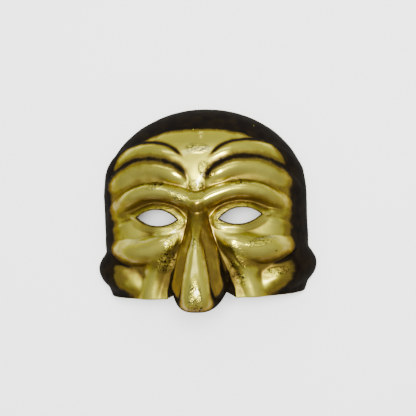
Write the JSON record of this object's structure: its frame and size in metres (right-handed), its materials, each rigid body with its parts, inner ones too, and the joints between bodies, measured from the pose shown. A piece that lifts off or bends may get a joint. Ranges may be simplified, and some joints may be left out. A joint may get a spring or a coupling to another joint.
{
  "type": "pulcinella half mask",
  "caption": "Half mask moulded as one thin shell, with a domed forehead, arched furrows, two almond eye holes, full cheeks and a long hooked nose. It lies face up on its rim.",
  "frame": {"origin": "middle of the bounding box in X and Y, on the surface that the rim lies on", "axes": "+X across the face to the viewer's right, +Y up the face from lip edge to crown, +Z out of the face"},
  "size_m": [0.1866, 0.1634, 0.1058],
  "materials": {
    "mask_shell": "satin metallic gold under a clear gloss coat, with a near black glaze at the rim and a brown stain in the furrows; plain dark inside"
  },
  "bodies": {
    "root": {"mask_shell": "mask_shell"}
  },
  "joints": []
}
